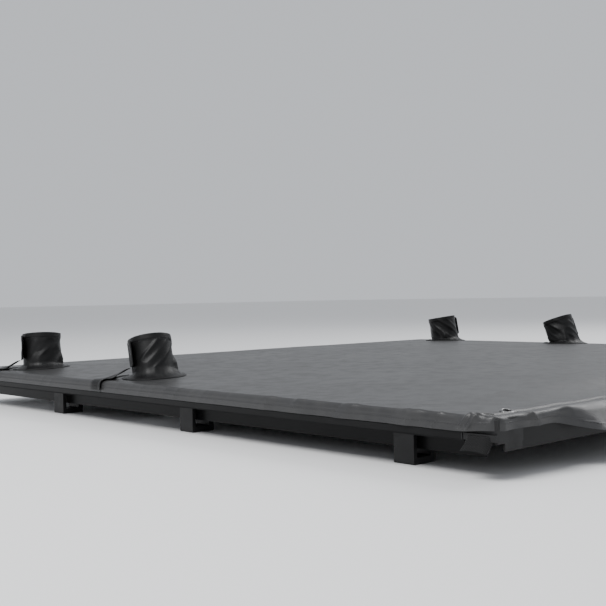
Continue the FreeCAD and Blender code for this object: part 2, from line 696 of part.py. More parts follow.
# --- build --------------------------------------------------------------------------------------
def main():
    os.makedirs("parts", exist_ok=True)
    side_names = {LEFT: "left", RIGHT: "right"}
    slit_skin = front_layer(*SLIT_FLAP_SKIN, SLIT_FLAP_BOTTOM)
    below_cover = under_front_cover(BOOT_SEAM_GAP)

    fitting_places = [(s, y) for y in FIXED_BOW_Y for s in (LEFT, RIGHT)]
    bow_screws = []
    for side, y in fitting_places:
        for dy in (-8, 8):
            bow_screws.append(countersunk_screw(side * (HALF_WIDTH - 43), y + dy, SEAT_Z, 14))
    corner_screws = []
    for side in (LEFT, RIGHT):
        for dy in (-8, -20):
            corner_screws.append(countersunk_screw(side * (HALF_WIDTH - 18), RAIL_FRONT_Y + dy, SEAT_Z, 12))
        for dx in (8, 20):
            x = side * (HALF_WIDTH - RAIL_LEDGE - dx)
            corner_screws.append(countersunk_screw(x, HALF_LENGTH - 18, SEAT_Z, 12))
    screws = Part.makeCompound(bow_screws + corner_screws)

    left_rail = rail(rail_section(True), RAIL_REAR_Y, RAIL_FRONT_Y)
    save("left_side_rail", left_rail.cut(screws))
    save("right_side_rail", mirrored(left_rail).cut(screws))
    save("front_rail", front_rail().cut(screws))
    for side, name in side_names.items():
        save("front_" + name + "_corner_bracket", corner_bracket(side).cut(screws))
        save("rear_" + name + "_rail_cap", rail_cap(side))
        save(name + "_pull_tab", pull_tab(side))
    save("rail_seals", rail_seals())
    loop_cutter = [loop_strip(s) for s in (LEFT, RIGHT)]
    save("rail_loop_strips", loop_cutter)
    for number, y in enumerate(FIXED_BOW_Y, 1):
        save("bow_%d" % number, bow(y))
    save("bow_end_fittings", [bow_fitting(s, y, 0).cut(screws) for s, y in fitting_places])
    save("frame_screws", bow_screws + corner_screws)

    save("front_cover_sheet", front_sheet())
    front_strips = []
    for side in (LEFT, RIGHT):
        y0 = HINGE_Y[0] + PANEL_GAP
        for place in ("rear", "front"):
            gap_y = slit_y(place, HALF_WIDTH)
            front_strips.append(hook_strip(side, y0, gap_y - 2 * SLIT))
            y0 = gap_y + 2 * SLIT
        front_strips.append(hook_strip(side, y0, RAIL_FRONT_Y))
    save("front_hook_strips", front_strips)

    for place in BOOT_Y:
        left_boot = boot(place, below_cover)
        left_boot_flap = boot_flap(place)
        left_slit_flap = slit_flap(place, slit_skin)
        for side, name in side_names.items():
            save(place + "_" + name + "_leg_boot", on_side(side, left_boot))
            save(place + "_" + name + "_boot_flap", on_side(side, left_boot_flap))
            save(place + "_" + name + "_slit_flap", on_side(side, left_slit_flap))

    for side, name in side_names.items():
        save(name + "_clamp_frames", [on_side(side, clamp_frame(y)) for y in CLAMP_Y])
        for number, y in enumerate(CLAMP_Y, 1):
            save("%s_clamp_pad_%d" % (name, number), on_side(side, clamp_pad(y)))
            save("%s_clamp_bolt_%d" % (name, number), on_side(side, clamp_bolt(y)))

    for index in range(len(HINGE_Y)):
        save("roll_panel_%d" % (index + 1), panel(index))
        save("roll_panel_%d_hook_strips" % (index + 1), panel_hook_strips(index))
    save("rolling_bow", bow(ROLLING_BOW_Y))
    save("rolling_bow_end_fittings", [bow_fitting(s, ROLLING_BOW_Y, CLEAR) for s in (LEFT, RIGHT)])
    save("rear_bar", rear_bar())
    save("rear_bar_end_caps", [bar_end_cap(s) for s in (LEFT, RIGHT)])
    seal_y = (BAR_SPAN_Y[0] + 8, BAR_SPAN_Y[1] - 8)
    save("rear_bar_seal", box(-BAR_END_X, BAR_END_X, *seal_y, SEAT_Z - SEAL_THICK, SEAT_Z))
    save("corner_eyelets", [corner_eyelet(s) for s in (LEFT, RIGHT)])

    for place in BOOT_Y:
        print(place, "foot", boot_foot(place), "leg", leg_direction(place))
        print(place, "boot flap hinge", boot_flap_hinge(place), "slit hinge", slit_flap_hinge(place))
    print("hinge height", HINGE_Z)


main()
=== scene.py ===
import json
import math

import bpy
import numpy as np
from mathutils import Matrix, Vector


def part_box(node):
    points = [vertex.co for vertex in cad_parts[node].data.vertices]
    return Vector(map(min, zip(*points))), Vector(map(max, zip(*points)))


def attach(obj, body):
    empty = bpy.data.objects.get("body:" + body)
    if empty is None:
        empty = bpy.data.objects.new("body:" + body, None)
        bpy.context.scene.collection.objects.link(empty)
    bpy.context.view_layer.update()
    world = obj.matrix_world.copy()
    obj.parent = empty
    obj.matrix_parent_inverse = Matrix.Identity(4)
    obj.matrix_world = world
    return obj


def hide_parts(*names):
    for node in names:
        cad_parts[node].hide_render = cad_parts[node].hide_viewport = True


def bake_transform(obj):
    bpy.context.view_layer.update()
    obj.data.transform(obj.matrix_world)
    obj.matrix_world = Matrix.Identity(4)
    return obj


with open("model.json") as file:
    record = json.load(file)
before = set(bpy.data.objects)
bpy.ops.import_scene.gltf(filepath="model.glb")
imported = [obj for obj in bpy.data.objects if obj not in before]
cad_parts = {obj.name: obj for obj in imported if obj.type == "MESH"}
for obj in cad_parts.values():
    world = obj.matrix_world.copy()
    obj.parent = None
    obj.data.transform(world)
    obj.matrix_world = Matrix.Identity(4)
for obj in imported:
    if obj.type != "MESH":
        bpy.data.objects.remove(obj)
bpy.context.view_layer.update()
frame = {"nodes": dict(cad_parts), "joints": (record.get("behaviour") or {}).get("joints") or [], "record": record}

RECORD = frame["record"]
JOINTS = {j["name"]: j for j in frame["joints"]}
MOUNTS = {m["name"]: m for m in RECORD["mounts"]}
MM = 0.001
SIDES = {"left": -1.0, "right": 1.0}
PLACES = ("front", "rear")

# --- the cover's overall shape, read from the CAD nodes ------------------------------------------
sheet_low, sheet_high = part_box("front_cover_sheet")
rear_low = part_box("roll_panel_4")[0]
HALF_W = sheet_high.x
HALF_L = sheet_high.y
HEM_BOTTOM = sheet_low.z
FLAP_BOTTOM = rear_low.z
CROWN = 18 * MM
EDGE_Z = sheet_high.z - CROWN
BEND = 9 * MM  # radius of the turn from the top into a hem
FLAT_X = HALF_W - BEND
FLAT_Y = HALF_L - BEND
QUARTER = BEND * math.pi / 2
SKIN = 1.2 * MM
SIDE_REACH = QUARTER + EDGE_Z - BEND - HEM_BOTTOM  # cloth from the start of the turn to a side hem's edge
REAR_REACH = QUARTER + EDGE_Z - BEND - FLAP_BOTTOM
CORNER = 20 * MM  # radius of the rear corners seen from above
LEG_HOLE = 50 * MM
SLIT_SLOPE = math.tan(math.radians(25))
FLAP_TURN = math.radians(23)  # a boot flap stands this far off the sleeve's own direction
FLAP_LOW = (25 * MM, 14 * MM)  # a boot flap's lower end at its sewn and free edges
HINGE_Y = [JOINTS[f"cover_roll_{k}"]["pos_m"][1] for k in range(1, 5)]
BOW_Y = [sum(v.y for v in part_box(n)) / 2 for n in ("bow_1", "bow_2", "bow_3", "bow_4", "rolling_bow")]
FRONT_RAIL_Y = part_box("front_rail")[1].y - 27 * MM
REAR_BAR_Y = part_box("rear_bar")[1].y


# --- small number helpers ------------------------------------------------------------------------
def smooth(x, low, high):
    t = np.clip((x - low) / (high - low), 0, 1)
    return t * t * (3 - 2 * t)


def bell(x, middle, width):
    return np.exp(-(((x - middle) / width) ** 2))


def value_noise(x, y, seed):
    """Smooth noise from -1 to 1 with one bump per unit."""
    table = np.random.default_rng(seed).uniform(-1, 1, (97, 97))
    x, y = np.broadcast_arrays(np.asarray(x, float), np.asarray(y, float))
    xi, yi = np.floor(x).astype(int), np.floor(y).astype(int)
    fx, fy = x - xi, y - yi
    fx, fy = fx * fx * (3 - 2 * fx), fy * fy * (3 - 2 * fy)

    def at(i, j):
        return table[(xi + i) % 97, (yi + j) % 97]

    low = at(0, 0) * (1 - fx) + at(1, 0) * fx
    high = at(0, 1) * (1 - fx) + at(1, 1) * fx
    return low * (1 - fy) + high * fy


def folds(x, y, seed):
    """Soft creases from 0 to 1: rounded hills between narrow valleys."""
    return 1 - np.abs(value_noise(x, y, seed)) ** 0.8


# --- the sheet's surface -------------------------------------------------------------------------
def crown_at(y):
    """Rise of the middle, with a little sag between the bows."""
    high = CROWN * (1 - smooth(y, BOW_Y[0] + 12 * MM, FRONT_RAIL_Y) * 0.96)
    high = high * (1 - smooth(-y, -HINGE_Y[3], -REAR_BAR_Y) * 0.92)
    supports = sorted(BOW_Y + [FRONT_RAIL_Y, REAR_BAR_Y])
    sag = np.zeros_like(y)
    for a, b in zip(supports[:-1], supports[1:]):
        t = np.clip((y - a) / (b - a), 0, 1)
        sag += 4 * t * (1 - t) * 16 * MM * (b - a) ** 2
    return high - sag


def rear_drop(x):
    """How far the rear flap hangs below the edge plane: short at the corners, longest just inboard."""
    away = HALF_W - np.abs(x)
    lifted = 12.5 * MM * (1 - smooth(away, 115 * MM, 205 * MM))
    return EDGE_Z - FLAP_BOTTOM - lifted + 7 * MM * bell(away, 245 * MM, 55 * MM)


def hem_reach(x, y, share):
    """Cloth from the start of the turn to the hem's free edge; share is 0 on a side and 1 on an end."""
    side = SIDE_REACH - 4 * MM * smooth(-y, 0.70, FLAT_Y)
    end = np.where(y > 0, SIDE_REACH, QUARTER - BEND + rear_drop(x))
    return side * (1 - share) + end * share


def round_corner(x, y):
    """Rounds the rear corners as seen from above."""
    a = np.maximum(np.abs(x) - HALF_W + CORNER, 0) / CORNER
    b = np.maximum(-y - HALF_L + CORNER, 0) / CORNER
    a_kept = a * np.sqrt(1 - np.minimum(b, 1.1) ** 2 / 2)
    b_kept = b * np.sqrt(1 - np.minimum(a, 1.1) ** 2 / 2)
    return x - np.sign(x) * CORNER * (a - a_kept), y + CORNER * (b - b_kept)


def skin(u, v):
    """Outer surface at u across and v along, both measured over the cloth from its middle."""
    u, v = np.broadcast_arrays(np.asarray(u, float), np.asarray(v, float))
    su, sv = np.where(u < 0, -1.0, 1.0), np.where(v < 0, -1.0, 1.0)
    inner_x, inner_y = np.minimum(np.abs(u), FLAT_X), np.minimum(np.abs(v), FLAT_Y)
    over_x = np.maximum(np.abs(u) - FLAT_X, 0) / SIDE_REACH
    over_y = np.maximum(np.abs(v) - FLAT_Y, 0) / np.where(sv > 0, SIDE_REACH, REAR_REACH)
    far = np.maximum(over_x, over_y)
    turn = np.arctan2(over_y, over_x + 1e-12)
    share = turn / (math.pi / 2)
    full = hem_reach(su * inner_x, sv * inner_y, share)
    run = far * full
    bend = np.minimum(run / BEND, math.pi / 2)
    out = BEND * np.sin(bend)
    drop = BEND * (1 - np.cos(bend)) + np.maximum(run - QUARTER, 0)
    x = su * (inner_x + out * np.cos(turn))
    y = sv * (inner_y + out * np.sin(turn))
    z = EDGE_Z - drop + np.maximum(crown_at(y), 0) * np.clip(1 - (x / FLAT_X) ** 2, 0, 1)
    nx, ny, nz = su * np.sin(bend) * np.cos(turn), sv * np.sin(bend) * np.sin(turn), np.cos(bend)
    push = wrinkles(u, v, x, y, run, full, turn, su, sv)
    y = y + ny * push - flare(x, run, share, sv)
    x, y = round_corner(x + nx * push, y)
    return np.stack([x, y, z + nz * push], -1)


def flare(x, run, share, sv):
    """The rear flap leans away from the tailgate between the corners, and a little in gentle waves."""
    away = HALF_W - np.abs(x)
    lean = 31 * MM * smooth(away, 135 * MM, 215 * MM) + 2.5 * MM * value_noise(x / 0.12, 0.5, 8)
    return np.maximum(lean, 0) * (run / REAR_REACH) ** 1.05 * share**2 * (sv < 0)


def wrinkles(u, v, x, y, run, full, turn, su, sv):
    """Displacement along the surface: slack on the top, gathers in the hems, folds at the rear corners."""
    inside_x = np.maximum(FLAT_X - np.abs(u), 0)
    inside_y = np.maximum(FLAT_Y - np.abs(v), 0)
    inside = np.minimum(inside_x, inside_y)
    seed = np.where(su < 0, 0, 50)
    loose = 0.14 + 1.15 * smooth(-y, -0.10, 0.70)
    top = 0.55 * MM * value_noise(x / 0.21, y / 0.16, 3)
    top += 0.22 * MM * value_noise(x / 0.07 + y / 0.3, y / 0.055, 4)
    top *= smooth(inside, 0, 0.10)
    on_side = np.where(run > 0, np.cos(turn) ** 2, smooth(inside_y - inside_x, -20 * MM, 20 * MM))
    down = run - inside
    near = np.exp(-inside / (22 * MM + 16 * MM * loose)) * (0.30 + 0.70 * smooth(run, 0, 8 * MM))
    gather = gathers(y - 0.85 * down + seed, down, 5) * on_side
    gather = gather + gathers(x + 0.5 * su * down, down, 9) * (1 - on_side)
    gather = gather * smooth(np.maximum(inside_x, inside_y), 2 * MM, 24 * MM)
    bead = 0.9 * MM * bell(run, 5 * MM, 4 * MM) * smooth(run, 0, 4 * MM) * loose * on_side
    band = 0.55 * MM * smooth(run, full - 11.5 * MM, full - 10 * MM)
    return top + MM * gather * near * loose + bead + band + corner_folds(x, y, run, turn, inside, sv)


def gathers(slant, down, seed):
    """Soft slanting gathers, in millimetres, with narrow creases between rounded ridges."""
    made = 4.4 * folds(slant / 0.037, down / 0.09, seed) - 2.2
    made += 0.9 * value_noise(slant / 0.014, down / 0.03, seed + 1)
    return np.maximum(made, -0.8)


def corner_folds(x, y, run, turn, inside, sv):
    """Two short ridges from each eyelet down the side hem; a pocket, a swell and a hollow behind."""
    down = run - inside
    line = (-y - FLAT_Y) * np.cos(turn)
    push = np.zeros_like(x)
    for start in (-20 * MM, -33 * MM):
        ridge = bell(line, start - 0.75 * down, 3.2 * MM) * smooth(down, -24 * MM, -8 * MM)
        push += 2.6 * MM * ridge * (1 - smooth(down, 18 * MM, 26 * MM))
    away = HALF_W - np.abs(x)
    behind = np.sin(turn) ** 2 * smooth(run, 1 * MM, 7 * MM)
    pocket = bell(away, 40 * MM, 17 * MM) * smooth(run, 2 * MM, 14 * MM) * behind
    swell = bell(away, 95 * MM, 34 * MM) * bell(run, 9 * MM, 8 * MM) * behind
    hollow = bell(away, 150 * MM, 30 * MM) * smooth(run, 4 * MM, 14 * MM) * behind
    return (sv < 0) * (push - 2.6 * MM * pocket + 3.4 * MM * swell - 3.0 * MM * hollow)


def skin_frame(u, v):
    """Points and outward normals of the surface."""
    step = 0.4 * MM
    point = skin(u, v)
    across = skin(u + step, v) - skin(u - step, v)
    along = skin(u, v + step) - skin(u, v - step)
    normal = np.cross(across, along)
    normal /= np.linalg.norm(normal, axis=-1, keepdims=True) + 1e-12
    return point, normal


# --- mesh helpers --------------------------------------------------------------------------------
def new_object(name, points, faces, material, normals=None):
    """A smooth-shaded mesh object, with one normal for each point if they are given."""
    points = np.asarray(points, float).reshape(-1, 3)
    mesh = bpy.data.meshes.new(name)
    mesh.from_pydata(points.tolist(), [], faces)
    mesh.polygons.foreach_set("use_smooth", [True] * len(mesh.polygons))
    mesh.materials.append(material)
    mesh.update()
    if normals is not None:
        mesh.normals_split_custom_set_from_vertices(np.asarray(normals, float).reshape(-1, 3).tolist())
    obj = bpy.data.objects.new(name, mesh)
    bpy.context.scene.collection.objects.link(obj)
    return obj


def cells(rows, cols, wrap=False):
    """Corner indices of each cell of a grid of points."""
    row = np.arange(rows - 1)[:, None] * cols
    here = np.arange(cols if wrap else cols - 1)[None, :]
    beside = (here + 1) % cols
    corners = np.broadcast_arrays(row + here, row + beside, row + cols + beside, row + cols + here)
    return np.stack(corners, -1)


def shell(name, outer, inner, material, keep=None, wrap=False, normals=None):
    """A closed two-layer sheet from two grids of points. keep says which cells are cloth."""
    rows, cols = outer.shape[:2]
    quads = cells(rows, cols, wrap)
    keep = np.ones(quads.shape[:2], bool) if keep is None else keep
    kept = quads[keep]
    count = rows * cols
    edges = np.concatenate([kept[:, [a, (a + 1) % 4]] for a in range(4)])
    keys = np.sort(edges, 1)
    _, first, uses = np.unique(keys, axis=0, return_index=True, return_counts=True)
    rim = edges[first[uses == 1]]
    rim_quads = np.stack([rim[:, 1], rim[:, 0], rim[:, 0] + count, rim[:, 1] + count], -1)
    faces = np.concatenate([kept, kept[:, ::-1] + count, rim_quads])
    points = np.concatenate([outer.reshape(-1, 3), inner.reshape(-1, 3)])
    used, renumbered = np.unique(faces, return_inverse=True)
    faces = renumbered.reshape(faces.shape)
    if normals is not None:
        both = np.concatenate([normals.reshape(-1, 3), -normals.reshape(-1, 3)])
        normals = both[used]
    return new_object(name, points[used], faces.tolist(), material, normals)


def thread(name, points, tangents, normals, length, width, material):
    """A run of separate stitches, each a small spindle pressed into the cloth."""
    points, tangents, normals = (np.asarray(a, float).reshape(-1, 3) for a in (points, tangents, normals))
    tangents = tangents / np.linalg.norm(tangents, axis=1, keepdims=True)
    sides = np.cross(normals, tangents)
    ring = [(math.cos(a), math.sin(a)) for a in np.arange(6) * math.pi / 3]
    shape = [(-0.5, 0, -0.25)]
    shape += [(-0.3, 0.5 * c, 0.5 * s) for c, s in ring]
    shape += [(0.3, 0.5 * c, 0.5 * s) for c, s in ring]
    shape += [(0.5, 0, -0.25)]
    shape = np.array(shape)
    made = points[:, None, :] + tangents[:, None, :] * (shape[None, :, 0:1] * length)
    made = made + sides[:, None, :] * (shape[None, :, 1:2] * width)
    made = made + normals[:, None, :] * (shape[None, :, 2:3] * width + 0.2 * width)
    faces = []
    for n in range(len(points)):
        b = n * 14
        for k in range(6):
            m = (k + 1) % 6
            faces.append((b, b + 1 + m, b + 1 + k))
            faces.append((b + 1 + k, b + 1 + m, b + 7 + m, b + 7 + k))
            faces.append((b + 13, b + 7 + k, b + 7 + m))
    return new_object(name, made.reshape(-1, 3), faces, material)


# --- materials -----------------------------------------------------------------------------------
class Nodes:
    """A short way to write a material's nodes."""

    def __init__(self, name):
        self.material = bpy.data.materials.new(name)
        self.material.use_nodes = True
        self.tree = self.material.node_tree
        self.shader = self.tree.nodes["Principled BSDF"]
        self.place = self.add("ShaderNodeTexCoord").outputs["Object"]

    def add(self, kind, **values):
        node = self.tree.nodes.new(kind)
        for key, value in values.items():
            if hasattr(node, key):
                setattr(node, key, value)
            else:
                self.put(value, node.inputs[key.replace("_", " ").title()])
        return node

    def put(self, value, socket):
        if isinstance(value, bpy.types.NodeSocket):
            self.tree.links.new(value, socket)
        else:
            socket.default_value = value

    def stretched(self, scale):
        node = self.add("ShaderNodeMapping")
        self.put(self.place, node.inputs["Vector"])
        node.inputs["Scale"].default_value = scale
        return node.outputs["Vector"]

    def noise(self, scale, detail=3.0, stretch=None):
        node = self.add("ShaderNodeTexNoise")
        self.put(self.stretched(stretch) if stretch else self.place, node.inputs["Vector"])
        node.inputs["Scale"].default_value = scale
        node.inputs["Detail"].default_value = detail
        return node.outputs["Fac"]

    def cellular(self, scale, feature="DISTANCE_TO_EDGE"):
        node = self.add("ShaderNodeTexVoronoi")
        node.feature = feature
        self.put(self.place, node.inputs["Vector"])
        node.inputs["Scale"].default_value = scale
        return node.outputs["Distance"]

    def span(self, value, low, high, to_low, to_high):
        node = self.add("ShaderNodeMapRange")
        keys = ("Value", "From Min", "From Max", "To Min", "To Max")
        for key, v in zip(keys, (value, low, high, to_low, to_high)):
            self.put(v, node.inputs[key])
        return node.outputs["Result"]

    def math(self, operation, a, b):
        node = self.add("ShaderNodeMath")
        node.operation = operation
        self.put(a, node.inputs[0])
        self.put(b, node.inputs[1])
        return node.outputs[0]

    def mix(self, factor, a, b):
        node = self.add("ShaderNodeMix")
        node.data_type = "RGBA"
        self.put(factor, node.inputs[0])
        self.put(a, node.inputs[6])
        self.put(b, node.inputs[7])
        return node.outputs[2]

    def bump(self, height, distance, strength=1.0, under=None):
        node = self.add("ShaderNodeBump")
        self.put(height, node.inputs["Height"])
        node.inputs["Distance"].default_value = distance
        node.inputs["Strength"].default_value = strength
        if under is not None:
            self.put(under, node.inputs["Normal"])
        return node.outputs["Normal"]

    def finish(self, **sockets):
        for key, value in sockets.items():
            self.put(value, self.shader.inputs[key.replace("_", " ")])
        return self.material


def grey(v, tint=(1.0, 1.0, 1.03)):
    """A colour of one lightness, slightly cold unless another tint is given."""
    return (v * tint[0], v * tint[1], v * tint[2], 1)


def vinyl(name, dark, light, rough, shine):
    """PVC-coated cloth with a pressed leather grain, some dust and scuffs."""
    m = Nodes(name)
    cloud = m.noise(5.5, 5)
    dust = m.span(m.noise(38, 4), 0.42, 0.72, 0, 1)
    colour = m.mix(m.span(cloud, 0.3, 0.7, 0, 1), grey(dark), grey(light))
    colour = m.mix(m.math("MULTIPLY", dust, 0.25), colour, grey(light * 1.6, (1.02, 1.0, 0.97)))
    wear = m.math("ADD", m.math("MULTIPLY", cloud, 0.6), m.math("MULTIPLY", dust, 0.4))
    roughness = m.span(wear, 0.2, 0.8, rough - 0.06, rough + 0.08)
    pebble = m.span(m.cellular(720), 0.0, 0.32, 0, 1)
    grain = m.bump(pebble, 0.22 * MM, 0.35)
    grain = m.bump(m.noise(1900, 2), 0.08 * MM, 0.3, grain)
    grain = m.bump(m.noise(60, 3), 0.5 * MM, 0.12, grain)
    return m.finish(Base_Color=colour, Roughness=roughness, Normal=grain, Specular_IOR_Level=shine)


def anodised(name, base, rough, metallic):
    """Drawn metal with fine lines along it. Black anodising is given as not metallic and hardly shines."""
    m = Nodes(name)
    lines = m.noise(240, 2, (30, 1, 30))
    colour = m.mix(m.span(m.noise(14, 4), 0.35, 0.7, 0, 1), grey(base), grey(base * 1.5))
    roughness = m.span(lines, 0.3, 0.7, rough - 0.05, rough + 0.07)
    shine = 0.5 if metallic > 0.5 else 0.12
    normal = m.bump(lines, 0.05 * MM, 0.25)
    m.finish(Base_Color=colour, Roughness=roughness, Normal=normal)
    return m.finish(Metallic=metallic, Specular_IOR_Level=shine)


def moulded(name, base, rough, grain_scale, depth):
    """Moulded plastic, rubber, foam or powder coat: a fine speckled grain."""
    m = Nodes(name)
    speck = m.noise(grain_scale, 2)
    colour = m.mix(m.span(m.noise(22, 4), 0.35, 0.7, 0, 1), grey(base), grey(base * 1.4))
    roughness = m.span(m.noise(70, 3), 0.3, 0.7, rough - 0.06, rough + 0.06)
    normal = m.bump(speck, depth, 0.5)
    return m.finish(Base_Color=colour, Roughness=roughness, Normal=normal, Specular_IOR_Level=0.25)


def tape(name, base, scale):
    """Hook-and-loop tape: a dense pile."""
    m = Nodes(name)
    pile = m.cellular(scale, "F1")
    colour = m.mix(m.span(pile, 0.1, 0.7, 0, 1), grey(base * 1.9), grey(base * 0.6))
    m.shader.inputs["Sheen Weight"].default_value = 0.05
    normal = m.bump(pile, 0.6 * MM, 0.9)
    return m.finish(Base_Color=colour, Roughness=0.9, Normal=normal, Specular_IOR_Level=0.15)


def woven(name, base, pitch):
    """Webbing: ribs across the strap and yarns along it."""
    m = Nodes(name)
    split = m.add("ShaderNodeSeparateXYZ")
    m.put(m.place, split.inputs[0])
    turns = 2 * math.pi / pitch
    ribs = m.math("SINE", m.math("MULTIPLY", split.outputs["Z"], turns), 0)
    yarns = m.math("SINE", m.math("MULTIPLY", split.outputs["Y"], turns * 0.6), 0)
    weave = m.math("MULTIPLY", ribs, yarns)
    colour = m.mix(m.span(weave, -1, 1, 0, 1), grey(base * 0.6), grey(base * 1.7))
    m.shader.inputs["Sheen Weight"].default_value = 0.05
    normal = m.bump(weave, 0.35 * MM, 0.8)
    return m.finish(Base_Color=colour, Roughness=0.78, Normal=normal, Specular_IOR_Level=0.2)


def plated(name, base, rough, tint):
    """Plated metal with a slight haze."""
    m = Nodes(name)
    haze = m.noise(130, 4)
    colour = m.mix(m.span(haze, 0.35, 0.7, 0, 1), grey(base, tint), grey(base * 0.72, tint))
    roughness = m.span(haze, 0.3, 0.7, rough - 0.07, rough + 0.12)
    normal = m.bump(m.noise(900, 2), 0.03 * MM, 0.3)
    return m.finish(Base_Color=colour, Roughness=roughness, Metallic=1.0, Normal=normal)


COVER = vinyl("cover_vinyl", 0.022, 0.031, 0.41, 0.42)
BOOT = vinyl("boot_vinyl", 0.0055, 0.009, 0.40, 0.20)
RAIL = anodised("black_rail", 0.005, 0.34, 0.0)
BOW = anodised("mill_aluminium", 0.42, 0.34, 1.0)
CLAMP = moulded("powder_coat", 0.010, 0.42, 900, 0.10 * MM)
PLASTIC = moulded("black_nylon", 0.008, 0.50, 1300, 0.08 * MM)
FOAM = moulded("foam_seal", 0.010, 0.85, 1500, 0.25 * MM)
PAD = moulded("rubber_pad", 0.013, 0.66, 700, 0.06 * MM)
TAPE = tape("hook_and_loop", 0.007, 1500)
WEBBING = woven("webbing", 0.006, 2.2 * MM)
ZINC = plated("zinc_plate", 0.60, 0.30, (1.0, 0.99, 0.93))
NICKEL = plated("nickel_plate", 0.22, 0.32, (1.0, 1.0, 1.0))
THREAD = moulded("thread", 0.035, 0.6, 2500, 0.05 * MM)

CAD_FINISH = {
    "rail_metal": RAIL,
    "fitting_plastic": PLASTIC,
    "seal_rubber": FOAM,
    "hook_and_loop": TAPE,
    "bow_metal": BOW,
    "zinc_steel": ZINC,
    "clamp_metal": CLAMP,
    "pad_rubber": PAD,
}


def finish_cad_nodes():
    """Gives every CAD node that is shown as it is its material."""
    slots = {s["node"]: s["material_slot"] for s in RECORD["subparts"]}
    for name, obj in frame["nodes"].items():
        material = CAD_FINISH.get(slots[name])
        if material is not None:
            obj.data.materials.clear()
            obj.data.materials.append(material)
            for polygon in obj.data.polygons:
                polygon.material_index = 0


# --- the cover's sheet ---------------------------------------------------------------------------
HALF_SLIT = 0.8 * MM
SPLITS = [(a + b) / 2 for a, b in zip(HINGE_Y[:-1], HINGE_Y[1:])]
SHEET_LENGTHS = [
    (
        "cover_sheet_fixed",
        ["front_cover_sheet", "roll_panel_1"],
        ["front_rail", "left_side_rail", "right_side_rail"],
    ),
    ("cover_sheet_roll_a", ["roll_panel_2"], ["rolling_bow"]),
    ("cover_sheet_roll_b", ["roll_panel_3"], ["left_side_rail"]),
    ("cover_sheet_rear", ["roll_panel_4"], ["rear_bar"]),
]


def spaced(stops):
    """Grid lines between stops: a list of (end, step) after a start."""
    lines = [np.array([stops[0]])]
    for end, step in stops[1:]:
        start = lines[-1][-1]
        lines.append(np.linspace(start, end, max(2, int(round(abs(end - start) / step)) + 1))[1:])
    return np.concatenate(lines)


def boot_frame(place, side):
    """Foot point and outboard, rearward and upward directions of a boot."""
    mount = MOUNTS[f"{place}_{side}_leg_boot_bore"]
    up = Vector(mount["axis"])
    foot = Vector(mount["pos_m"])
    for _ in range(4):
        top = EDGE_Z + float(crown_at(np.array(foot.y))) * (1 - (foot.x / FLAT_X) ** 2)
        foot = foot - up * ((foot.z - top) / up.z)
    rearward = Vector((0, -1, 0))
    rearward = (rearward - up * rearward.dot(up)).normalized()
    outboard = rearward.cross(up).normalized()
    if outboard.x * SIDES[side] < 0:
        outboard = -outboard
    return foot, outboard, rearward, up


def sheared(grid_u, grid_v):
    """Grid rows near each boot follow the slanting slit from the leg hole to the hem."""
    moved = grid_v.copy()
    for place in PLACES:
        foot = boot_frame(place, "left")[0]
        beyond = np.maximum(np.minimum(np.abs(grid_u), HALF_W) - abs(foot.x), 0)
        moved += bell(grid_v, foot.y, 75 * MM) * SLIT_SLOPE * beyond
    return moved


def centres(grid):
    """Values at the middle of each cell."""
    return (grid[1:, 1:] + grid[1:, :-1] + grid[:-1, 1:] + grid[:-1, :-1]) / 4


def leg_hole(grid_u, grid_v, foot):
    """The cells inside a leg hole, once the grid points round it are drawn onto its circle."""
    inside = np.hypot(centres(grid_u) - foot.x, centres(grid_v) - foot.y) < LEG_HOLE

    def touches(cell_mask):
        wide = np.pad(cell_mask, 1)
        return wide[1:, 1:] | wide[1:, :-1] | wide[:-1, 1:] | wide[:-1, :-1]

    rim = touches(inside) & touches(~inside)
    du, dv = grid_u[rim] - foot.x, grid_v[rim] - foot.y
    scale = LEG_HOLE / np.hypot(du, dv)
    grid_u[rim], grid_v[rim] = foot.x + du * scale, foot.y + dv * scale
    return inside


def cover_lines():
    """Grid lines across and along the flat cloth, finer at the hems, the boots and the slits."""
    side = spaced([0.0, (0.672, 12 * MM), (0.79, 4 * MM), (FLAT_X + SIDE_REACH, 1.5 * MM)])
    stops = [FLAT_Y + SIDE_REACH, (0.745, 2 * MM)]
    for place in PLACES:
        foot_y = boot_frame(place, "left")[0].y
        stops += [(foot_y + HALF_SLIT, 5 * MM), (foot_y - HALF_SLIT, 2 * MM)]
    stops += [(y, 4.5 * MM) for y in SPLITS]
    stops += [(-0.690, 3 * MM), (-FLAT_Y - REAR_REACH, 1.5 * MM)]
    return np.concatenate([-side[:0:-1], side]), spaced(stops)


def cover_cuts(grid_u, grid_v, mid_v):
    """Which cells are cloth: all but the leg holes and the slits from them to the side hems."""
    keep = np.ones((grid_u.shape[0] - 1, grid_u.shape[1] - 1), bool)
    for place in PLACES:
        for side in SIDES:
            foot = boot_frame(place, side)[0]
            keep &= ~leg_hole(grid_u, grid_v, foot)
            in_slit = (np.abs(mid_v - foot.y) < HALF_SLIT)[:, None]
            keep &= ~(in_slit & (np.abs(centres(grid_u)) > abs(foot.x)))
    return keep


